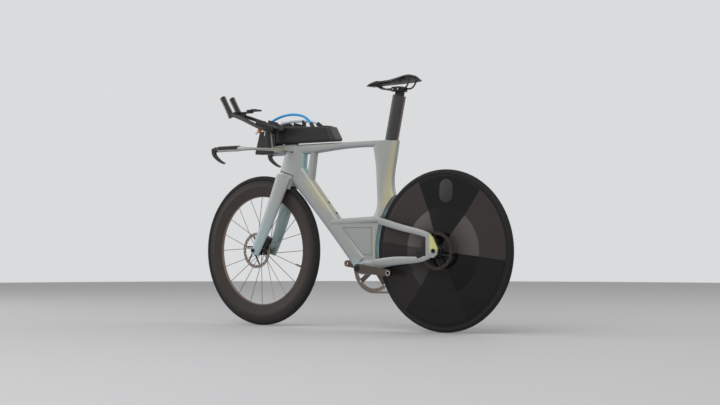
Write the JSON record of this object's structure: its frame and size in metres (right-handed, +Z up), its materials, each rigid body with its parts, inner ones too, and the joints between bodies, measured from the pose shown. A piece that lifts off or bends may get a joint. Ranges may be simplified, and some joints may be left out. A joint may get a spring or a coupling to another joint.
{
  "type": "time trial bicycle",
  "caption": "Aero time trial bicycle with disc rear wheel, deep front rim, wing base bar, arm cups, extensions and a hydration box behind the bars.",
  "frame": {"origin": "on the ground, midway between the wheel axles, in the bicycle's middle plane", "axes": "+X forward, +Y to the rider's left, +Z up"},
  "size_m": [1.6869, 0.411, 1.0827],
  "materials": {
    "frame_paint": "pearl gloss",
    "black_carbon": "satin",
    "disc_carbon": "gloss",
    "rim_carbon": "satin",
    "grip_rubber": "matt",
    "foam": "matt",
    "tyre": "matt",
    "alloy": "anodised",
    "caliper_black": "satin",
    "steel": "brushed",
    "blue_hose": "gloss",
    "white_hose": "gloss"
  },
  "bodies": {
    "frame": {"main_frame": "frame_paint", "left_rear_stay": "frame_paint", "right_rear_stay": "frame_paint", "storage_cover": "frame_paint", "seat_clamp_wedge": "black_carbon", "seat_clamp_bolts": "steel", "frame_bearings": "steel", "rear_axle": "alloy", "derailleur_hanger": "alloy", "rear_brake_caliper": "caliper_black", "rear_brake_pads": "steel", "derailleur_body": "black_carbon", "chain": "steel"},
    "seatpost": {"seatpost": "black_carbon", "saddle_clamp": "alloy"},
    "saddle": {"saddle_shell": "black_carbon", "saddle_pad": "foam", "saddle_rails": "steel"},
    "steering": {"fork": "frame_paint", "front_axle": "alloy", "front_brake_caliper": "caliper_black", "front_brake_pads": "steel", "stem": "frame_paint", "base_bar": "frame_paint", "bar_grips": "grip_rubber", "lever_pins": "steel", "arm_risers": "black_carbon", "riser_bolts": "steel", "arm_cups": "black_carbon", "arm_pads": "foam", "extensions": "black_carbon", "extension_grips": "grip_rubber", "computer_mount": "black_carbon", "nose_tank": "black_carbon", "storage_box": "black_carbon", "hose_fittings": "black_carbon", "drink_hose": "blue_hose", "refill_hose": "white_hose", "bite_valve": "grip_rubber"},
    "left_lever": {"left_brake_lever": "black_carbon"},
    "right_lever": {"right_brake_lever": "black_carbon"},
    "left_button": {"left_shift_button": "grip_rubber"},
    "right_button": {"right_shift_button": "grip_rubber"},
    "filler_cap": {"tank_cap": "black_carbon"},
    "front_wheel": {"front_tyre": "tyre", "front_rim": "rim_carbon", "front_spokes": "steel", "front_hub": "alloy", "front_rotor": "steel"},
    "rear_wheel": {"rear_tyre": "tyre", "rear_disc": "disc_carbon", "rear_hub": "alloy", "rear_rotor": "steel"},
    "cogs": {"cassette": "steel"},
    "crank": {"left_crank_arm": "alloy", "right_crank_arm": "alloy", "chainring": "steel"},
    "cage": {"derailleur_cage": "alloy"},
    "upper_pulley": {"guide_pulley": "alloy"},
    "lower_pulley": {"tension_pulley": "alloy"}
  },
  "joints": [
    {"name": "steering_turn", "type": "hinge", "parent": "frame", "child": "steering", "pos_m": [0.46197, 0, 0.32534], "axis": [-0.2924, 0, 0.9563], "range_deg": [-45, 45]},
    {"name": "front_wheel_spin", "type": "hinge", "parent": "steering", "child": "front_wheel", "pos_m": [0.505, 0, 0.3385], "axis": [0, 1, 0], "continuous": true},
    {"name": "rear_wheel_spin", "type": "hinge", "parent": "frame", "child": "rear_wheel", "pos_m": [-0.505, 0, 0.3385], "axis": [0, 1, 0], "continuous": true},
    {"name": "crank_spin", "type": "hinge", "parent": "frame", "child": "crank", "pos_m": [-0.10192, 0, 0.2635], "axis": [0, 1, 0], "continuous": true, "deforming": ["chain"]},
    {"name": "cassette_spin", "type": "hinge", "parent": "frame", "child": "cogs", "pos_m": [-0.505, 0, 0.3385], "axis": [0, 1, 0], "continuous": true},
    {"name": "cage_swing", "type": "hinge", "parent": "frame", "child": "cage", "pos_m": [-0.497, 0, 0.2445], "axis": [0, 1, 0], "range_deg": [-20, 35], "stiffness_Nm_per_rad": 1.5, "deforming": ["chain"]},
    {"name": "guide_pulley_spin", "type": "hinge", "parent": "cage", "child": "upper_pulley", "pos_m": [-0.497, 0, 0.2445], "axis": [0, 1, 0], "continuous": true},
    {"name": "tension_pulley_spin", "type": "hinge", "parent": "cage", "child": "lower_pulley", "pos_m": [-0.44711, 0, 0.18717], "axis": [0, 1, 0], "continuous": true},
    {"name": "left_brake_pull", "type": "hinge", "parent": "steering", "child": "left_lever", "pos_m": [0.6073, 0.19, 0.79], "axis": [0, 1, 0], "range_deg": [0, 22], "stiffness_Nm_per_rad": 1.2, "springref_deg": -5.73},
    {"name": "right_brake_pull", "type": "hinge", "parent": "steering", "child": "right_lever", "pos_m": [0.6073, -0.19, 0.79], "axis": [0, 1, 0], "range_deg": [0, 22], "stiffness_Nm_per_rad": 1.2, "springref_deg": -5.73},
    {"name": "left_shift_press", "type": "slide", "parent": "steering", "child": "left_button", "axis": [-0.5299, 0, -0.848], "range_m": [0, 0.0015], "stiffness_N_per_m": 900, "springref_m": -0.001},
    {"name": "right_shift_press", "type": "slide", "parent": "steering", "child": "right_button", "axis": [-0.5299, 0, -0.848], "range_m": [0, 0.0015], "stiffness_N_per_m": 900, "springref_m": -0.001},
    {"name": "tank_cap_open", "type": "hinge", "parent": "steering", "child": "filler_cap", "pos_m": [0.11, 0, 0.88604], "axis": [0, -1, 0], "range_deg": [0, 100]},
    {"name": "seatpost_height", "type": "slide", "parent": "frame", "child": "seatpost", "axis": [-0.213, 0, 0.977], "range_m": [-0.055, 0.03]},
    {"name": "saddle_slide", "type": "slide", "parent": "seatpost", "child": "saddle", "axis": [1, 0, 0], "range_m": [-0.015, 0.015]}
  ],
  "couplings": [
    {"joint": "cassette_spin", "follows": "crank_spin", "ratio": 3.0588},
    {"joint": "guide_pulley_spin", "follows": "crank_spin", "ratio": -4.3333},
    {"joint": "tension_pulley_spin", "follows": "crank_spin", "ratio": 4.3333}
  ]
}
